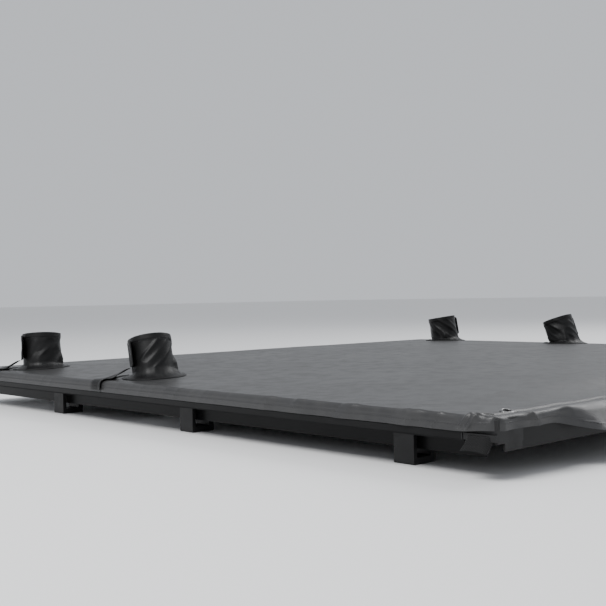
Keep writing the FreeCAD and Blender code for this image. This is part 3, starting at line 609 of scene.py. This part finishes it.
def cover_sheet():
    """The cover's cloth in four lengths, each with the hem stitching along it."""
    us, vs = cover_lines()
    grid_u, rows_v = np.meshgrid(us, vs)
    grid_v = sheared(grid_u, rows_v)
    mid_v = (vs[1:] + vs[:-1]) / 2
    keep = cover_cuts(grid_u, grid_v, mid_v)
    outer, normals = skin_frame(grid_u, grid_v)
    inner = outer - normals * SKIN
    limits = [1.0] + SPLITS + [-1.0]
    for k, (name, stands_for, rests) in enumerate(SHEET_LENGTHS):
        rows = np.where((mid_v < limits[k]) & (mid_v > limits[k + 1]))[0]
        part = slice(rows[0], rows[-1] + 2)
        cloth = keep[rows[0] : rows[-1] + 1][::-1]
        layers = outer[part][::-1], inner[part][::-1]
        obj = shell(name, *layers, COVER, cloth, normals=normals[part][::-1])
        stitches = hem_thread(k, vs[part])
        for o in (obj, stitches):
            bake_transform(o)
        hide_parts(*stands_for)


def hem_thread(k, vs):
    """Lock stitching that holds the hem's fold, for one section of the sheet."""
    inset = 9 * MM
    pitch = 5 * MM
    v = np.arange(min(vs) + 2 * MM, max(vs) - 2 * MM, pitch)
    v = v[np.abs(v) < FLAT_Y - 6 * MM]
    u = np.arange(-FLAT_X + 8 * MM, FLAT_X - 8 * MM, pitch)
    in_side = FLAT_X + SIDE_REACH * (1 - inset / hem_reach(FLAT_X, v, 0.0))
    runs = [(-in_side, v, (0.0, 1.0)), (in_side, v, (0.0, 1.0))]
    if k == 0:
        runs.append((u, np.full_like(u, FLAT_Y + SIDE_REACH - inset), (1.0, 0.0)))
    if k == 3:
        in_rear = -FLAT_Y - REAR_REACH * (1 - inset / hem_reach(u, -FLAT_Y, 1.0))
        runs.append((u, in_rear, (1.0, 0.0)))
    us, ws = (np.concatenate([r[i] for r in runs]) for i in (0, 1))
    along = np.concatenate([np.tile(r[2], (len(r[0]), 1)) for r in runs])
    for place in PLACES:
        for side in SIDES:
            foot = boot_frame(place, side)[0]
            slit_at = foot.y + SLIT_SLOPE * (HALF_W - abs(foot.x))
            clear = (np.abs(ws - slit_at) > 4 * MM) | (np.abs(us) < FLAT_X)
            us, ws, along = us[clear], ws[clear], along[clear]
    point, normal = skin_frame(us, ws)
    ahead = skin(us + along[:, 0] * MM, ws + along[:, 1] * MM)
    return thread(f"hem_thread_{k + 1}", point, ahead - point, normal, 3.6 * MM, 0.8 * MM, THREAD)


# --- boots ---------------------------------------------------------------------------------------
def as_array(v):
    """A Blender vector as numbers."""
    return np.array(v, float)


def sleeve_radius(place, side):
    """Outside of a boot's sleeve: the bore for the leg and the cloth's thickness."""
    return MOUNTS[f"{place}_{side}_leg_boot_bore"]["dims"]["r_mm"] * MM + 2.2 * MM


def round_angle(angle, middle):
    """Angle from middle, between minus and plus half a turn."""
    return np.angle(np.exp(1j * (angle - middle)))


def boot_points(place, side, angle, rise, inset):
    """Points of a boot's cloth. angle is 0 outboard and a quarter turn rearward; rise is 0 at the seam
    and 1 at the top."""
    foot, outboard, rearward, up = (as_array(v) for v in boot_frame(place, side))
    sign = SIDES[side]
    seed = {"front": 11, "rear": 23}[place] + (5 if side == "left" else 0)
    sleeve = sleeve_radius(place, side)
    top = boot_top(place, side)
    waist = 10 * MM
    foot_share = 0.30
    c, s = np.cos(angle), np.sin(angle)
    hem = 64 * MM + 1.8 * MM * value_noise(angle * 2.2, 0.5, seed)
    hem = hem + 1.2 * MM * value_noise(angle * 6, 3.5, seed)
    base = skin(foot[0] + sign * c * hem, foot[1] - s * hem)
    base[..., 2] += 1.5 * MM
    inboard_front = bell(round_angle(angle, 3.9), 0, 0.5)
    inboard_rear = bell(round_angle(angle, 2.4), 0, 0.17)
    bunched = sleeve + 1.5 * MM + 1.5 * MM * value_noise(angle * 3.1, 7.5, seed) + 8 * MM * inboard_front
    heel = skin(foot[0] + sign * c * bunched, foot[1] - s * bunched)
    heel[..., 2] += 1.8 * MM + 5 * MM * inboard_front
    radial = c[..., None] * outboard + s[..., None] * rearward
    high = waist + np.maximum(rise - foot_share, 0) / (1 - foot_share) * (top - waist)
    crease = boot_creases(angle, high, seed, sleeve)
    radius = sleeve + crease + 6 * MM * inboard_rear * (1 - smooth(high, 16 * MM, 40 * MM))
    band = smooth(high, top - 11.5 * MM, top - 10.5 * MM)
    radius = radius * (1 - band) + (sleeve + 1.3 * MM + 0.35 * crease) * band
    wall = foot + up * high[..., None] + radial * (radius - inset)[..., None]
    t = np.clip(rise / foot_share, 0, 1)[..., None]
    skirt = base * (1 - t) ** 2 + heel * 2 * t * (1 - t) + wall * t**2
    pleat = 1.5 * MM * folds(angle * 3.3, 0.3 + t[..., 0] * 0.8, seed + 1)
    pleat = pleat + 0.7 * MM * value_noise(angle * 9, 1.2, seed)
    lift = (pleat * 4 * t[..., 0] * (1 - t[..., 0]))[..., None] * (radial * 0.6 + up * 0.8)
    inward = inset * np.clip(1 - t, 0, 1)
    skirt = skirt + lift - inward * up
    return np.where((rise < foot_share)[..., None], skirt, wall)


def boot_top(place, side):
    """Height of a sleeve along its leg, from the sheet to its rim."""
    foot, _, _, up = boot_frame(place, side)
    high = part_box(f"{place}_{side}_leg_boot")[1]
    tilt = math.sqrt(1 - up.z**2)
    return (high.z - foot.z - sleeve_radius(place, side) * tilt) / up.z


def boot_creases(angle, high, seed, sleeve):
    """Loose folds that climb round the sleeve at a slant; they fade out in front, where they would meet."""
    turned = round_angle(angle, 1.92)
    across = 0.74 * high - 0.67 * sleeve * turned
    along = 0.67 * high + 0.74 * sleeve * turned
    fold = 3.8 * MM * folds(across / 0.019 + seed, along / 0.075, seed) - 2.0 * MM
    fold += 1.0 * MM * value_noise(across / 0.009, along / 0.03, seed + 2)
    fold = np.maximum(fold, -0.7 * MM)
    clear_of_flap = 0.2 + 0.8 * smooth(np.abs(round_angle(angle, -0.48)), 0.3, 0.7)
    return fold * clear_of_flap * smooth(math.pi - np.abs(turned), 0.1, 0.6)


def leg_boots():
    """The four boots' cloth, each with its two rows of stitches."""
    for place in PLACES:
        for side in SIDES:
            angle = np.linspace(0, 2 * math.pi, 121)[:-1][None, :]
            rise = np.linspace(0, 1, 64)[:, None]
            angle, rise = np.broadcast_arrays(angle, rise)
            outer = boot_points(place, side, angle, rise, 0.0)
            inner = boot_points(place, side, angle, rise, 1.3 * MM)
            if SIDES[side] > 0:
                outer, inner = outer[:, ::-1], inner[:, ::-1]
            node = f"{place}_{side}_leg_boot"
            obj = shell(node + "_cloth", outer, inner, BOOT, wrap=True)
            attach(obj, "frame")
            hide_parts(node)
            rows = [boot_thread(place, side, "seam", 0.035), boot_thread(place, side, "top", 0.875)]


def boot_thread(place, side, name, rise_at):
    """One row of stitches round a boot."""
    count = 92 if name == "seam" else 58
    angle = np.linspace(0, 2 * math.pi, count + 1)[:-1]
    rise = np.full_like(angle, rise_at)
    point = boot_points(place, side, angle, rise, 0.0)
    ahead = boot_points(place, side, angle + 0.02, rise, 0.0)
    above = boot_points(place, side, angle, rise + 0.01, 0.0)
    normal = np.cross(ahead - point, above - point) * SIDES[side] * -1
    normal /= np.linalg.norm(normal, axis=1, keepdims=True)
    foot = as_array(boot_frame(place, side)[0])
    outward = point - foot
    flip = np.sign((normal * (outward + np.array([0, 0, 0.05]))).sum(1))
    normal *= flip[:, None]
    label = f"{place}_{side}_boot_{name}_thread"
    obj = thread(label, point, ahead - point, normal, 3.2 * MM, 0.8 * MM, THREAD)
    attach(obj, "frame")
    return obj


def node_span(node, origin, axes):
    """A CAD node's extent along each axis from origin."""
    points = np.array([v.co for v in frame["nodes"][node].data.vertices]) - as_array(origin)
    return [((points @ as_array(a)).min(), (points @ as_array(a)).max()) for a in axes]


def boot_flaps():
    """The fin that closes each boot: two layers sewn face to face, with a free edge off the sleeve."""
    for place in PLACES:
        for side in SIDES:
            node = f"{place}_{side}_boot_flap"
            foot, outboard, rearward, up = (as_array(v) for v in boot_frame(place, side))
            across = outboard * math.sin(FLAP_TURN) + rearward * math.cos(FLAP_TURN)
            out = outboard * math.cos(FLAP_TURN) - rearward * math.sin(FLAP_TURN)
            (near, far), (sewn, free), (_, high) = node_span(node, foot, (out, across, up))
            s, t = np.meshgrid(np.linspace(0, 1, 33), np.linspace(0, 1, 41))
            corner = 6 * MM
            from_end = np.minimum((1 - s) * (free - sewn), corner)
            trim = corner - np.sqrt(np.maximum(corner**2 - (corner - from_end) ** 2, 0))
            bottom = FLAP_LOW[0] + (FLAP_LOW[1] - FLAP_LOW[0]) * s
            height = bottom + trim + (high - bottom - 2 * trim) * t
            seed = 31 if side == "left" else 32
            curl = 2.5 * MM * smooth(s, 0.45, 1.0)
            curl = curl + 1.2 * MM * value_noise(s * 2.5, t * 3.5, seed) * smooth(s, 0.3, 0.8)
            thick = (far - near) * (0.72 + 0.28 * smooth(np.minimum(s, 1 - s), 0.0, 0.06))
            thick = thick + 0.5 * MM * (1 - smooth((1 - s) * (free - sewn), 6.5 * MM, 8.5 * MM))
            face = foot + (sewn + (free - sewn) * s)[..., None] * across + height[..., None] * up
            outer = face + (near + curl + thick)[..., None] * out
            inner = face + (near + curl)[..., None] * out
            if SIDES[side] < 0:
                outer, inner = outer[:, ::-1], inner[:, ::-1]
            obj = shell(node + "_cloth", outer, inner, BOOT)
            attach(obj, f"{place}_{side}_boot_closure")
            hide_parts(node)


def slit_flaps():
    """The flap that laps the slit between a boot and the hem. Its rear edge is free and curls up."""
    for place in PLACES:
        for side, sign in SIDES.items():
            node = f"{place}_{side}_slit_flap"
            foot = boot_frame(place, side)[0]
            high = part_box(node)[1]
            q, p = np.meshgrid(np.linspace(0, 1, 70), np.linspace(0, 1, 44))
            inner_v = high.y + (foot.y + 10 * MM - high.y) * p
            outer_v = high.y + (foot.y + 40 * MM - high.y) * p
            clear = 76.5 * MM - 27 * MM * smooth(p, 0.35, 1.0)
            inner_u = abs(foot.x) + np.sqrt(np.maximum(clear**2 - (inner_v - foot.y) ** 2, (10 * MM) ** 2))
            outer_u = FLAT_X + SIDE_REACH - 4 * MM
            u = inner_u + (outer_u - inner_u) * q
            v = inner_v + (outer_v - inner_v) * np.clip((u - inner_u) / (HALF_W - inner_u), 0, 1)
            point, normal = skin_frame(sign * u, v)
            from_free = (1 - p) * (high.y - inner_v[-1, 0])
            curl = 6.0 * MM * (1 - smooth(from_free, 0, 26 * MM)) ** 1.4
            curl = curl * (0.6 + 0.4 * value_noise(u / 0.028, 0.2, 43 + int(sign)))
            curl = curl * (1 - 0.45 * smooth(u, FLAT_X, outer_u))
            ripple = 0.6 * MM * (1 + value_noise(u / 0.016, v / 0.03, 44)) * smooth(p, 0, 0.2)
            climb = 15 * MM * smooth(p, 0.2, 1.0) * (1 - smooth(u - inner_u, 0, 36 * MM))
            lift = 0.4 * MM + curl + ripple + climb
            inner = point + normal * lift[..., None]
            outer = inner + normal * (1.3 * MM)
            if sign < 0:
                outer, inner = outer[:, ::-1], inner[:, ::-1]
            obj = shell(node + "_cloth", outer[::-1], inner[::-1], BOOT)
            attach(obj, f"{place}_{side}_slit_closure")
            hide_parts(node)


# --- small fittings ------------------------------------------------------------------------------
def revolved(name, profile, centre, axis, material, steps=48):
    """A closed ring turned from a profile of (radius, height) points."""
    axis = Vector(axis).normalized()
    rotation = axis.to_track_quat("Z", "Y").to_matrix()
    turns = np.arange(steps) * 2 * math.pi / steps
    points = []
    for radius, height in profile:
        for a in turns:
            spoke = Vector((radius * math.cos(a), radius * math.sin(a), height))
            points.append(tuple(centre + rotation @ spoke))
    count = len(profile)
    faces = []
    for i in range(count):
        for j in range(steps):
            a, b = i * steps, ((i + 1) % count) * steps
            faces.append((a + j, a + (j + 1) % steps, b + (j + 1) % steps, b + j))
    return new_object(name, points, faces, material)


EYELET_RIM = (  # radius and height in millimetres, round a rolled rim with a flange below the cloth
    (6.0, 0.2),
    (5.6, 0.9),
    (5.9, 1.6),
    (6.8, 2.0),
    (8.0, 1.9),
    (9.3, 1.4),
    (10.0, 0.6),
    (10.1, -0.2),
    (8.5, -1.6),
    (6.4, -1.5),
)


def eyelets():
    """A rolled metal ring in each rear corner."""
    low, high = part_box("corner_eyelets")
    for side, sign in SIDES.items():
        x, y = sign * (high.x - 10 * MM), (low.y + high.y) / 2
        point, normal = skin_frame(np.array([x]), np.array([y]))
        profile = [(r * MM, h * MM) for r, h in EYELET_RIM]
        obj = revolved(f"{side}_eyelet", profile, Vector(point[0]), Vector(normal[0]), NICKEL)
        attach(obj, "roll_section_4")
        if side == "left":
            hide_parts("corner_eyelets")


def pull_tabs():
    """Webbing tabs at the rear corners, doubled and sewn across, hanging a little outwards."""
    for side, sign in SIDES.items():
        node = f"{side}_pull_tab"
        low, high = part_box(node)
        s, t = np.meshgrid(np.linspace(0, 1, 25), np.linspace(0, 1, 33))
        y = low.y + (high.y - low.y) * s + 8 * MM * t**1.4
        z = high.z + (low.z - high.z) * t + 1.5 * MM * np.sin(s * math.pi) * t - 1.5 * MM * (1 - s) * t
        face = low.x if sign < 0 else high.x
        back = high.x if sign < 0 else low.x
        lean = sign * (5 * MM * t**1.5 + 1.0 * MM * value_noise(s * 2, t * 2, 51) * t)
        thick = abs(face - back) * (0.9 + 0.35 * smooth(t, 0.62, 0.66))
        outer = np.stack([*round_corner(back + sign * thick + lean, y), z], -1)
        inner = np.stack([*round_corner(back + lean, y), z], -1)
        if sign < 0:
            outer, inner = outer[:, ::-1], inner[:, ::-1]
        obj = shell(node + "_webbing", outer[::-1], inner[::-1], WEBBING)
        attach(obj, f"{side}_tab")
        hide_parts(node)


# --- stage ---------------------------------------------------------------------------------------
def stage():
    """A pale floor, an even pale surround and two soft lamps."""
    mesh = bpy.data.meshes.new("floor")
    r = 40.0
    mesh.from_pydata([(-r, -r, 0), (r, -r, 0), (r, r, 0), (-r, r, 0)], [], [(0, 1, 2, 3)])
    floor = bpy.data.objects.new("floor", mesh)
    bpy.context.scene.collection.objects.link(floor)
    m = Nodes("floor_paint")
    mesh.materials.append(m.finish(Base_Color=(0.80, 0.80, 0.80, 1), Roughness=0.9))
    world = bpy.data.worlds.new("studio")
    bpy.context.scene.world = world
    world.use_nodes = True
    background = world.node_tree.nodes["Background"]
    background.inputs["Color"].default_value = (0.92, 0.95, 1.0, 1)
    background.inputs["Strength"].default_value = 0.72
    lamp("key", (-3.0, -0.4, 3.0), 150, 1.6)
    lamp("fill", (3.2, -0.4, 3.3), 120, 3.0)


def lamp(name, place, power, size):
    """A square soft lamp that faces the cover."""
    data = bpy.data.lights.new(name, "AREA")
    data.energy = power
    data.size = size
    obj = bpy.data.objects.new(name, data)
    bpy.context.scene.collection.objects.link(obj)
    obj.location = place
    obj.rotation_mode = "QUATERNION"
    obj.rotation_quaternion = (Vector((0, 0, 0.05)) - Vector(place)).to_track_quat("-Z", "Y")


def camera():
    """Low, behind the rear left corner, looking forwards and across."""
    yaw, pitch, roll = (math.radians(a) for a in (42.848, -0.363, -1.022))
    ahead = Vector((math.sin(yaw) * math.cos(pitch), math.cos(yaw) * math.cos(pitch), math.sin(pitch)))
    right = Vector((math.cos(yaw), -math.sin(yaw), 0))
    over = right.cross(ahead)
    c, s = math.cos(roll), math.sin(roll)
    right, over = right * c + over * s, over * c - right * s
    data = bpy.data.cameras.new("camera")
    data.sensor_width = 36
    data.lens = 59.11
    data.clip_start = 0.02
    data.clip_end = 200
    obj = bpy.data.objects.new("camera", data)
    bpy.context.scene.collection.objects.link(obj)
    turn = Matrix((right, over, -ahead)).transposed().to_4x4()
    obj.matrix_world = Matrix.Translation((-1.8554, -1.5205, EDGE_Z + 0.1563)) @ turn
    bpy.context.scene.camera = obj


finish_cad_nodes()
cover_sheet()
leg_boots()
boot_flaps()
slit_flaps()
eyelets()
pull_tabs()
stage()
camera()
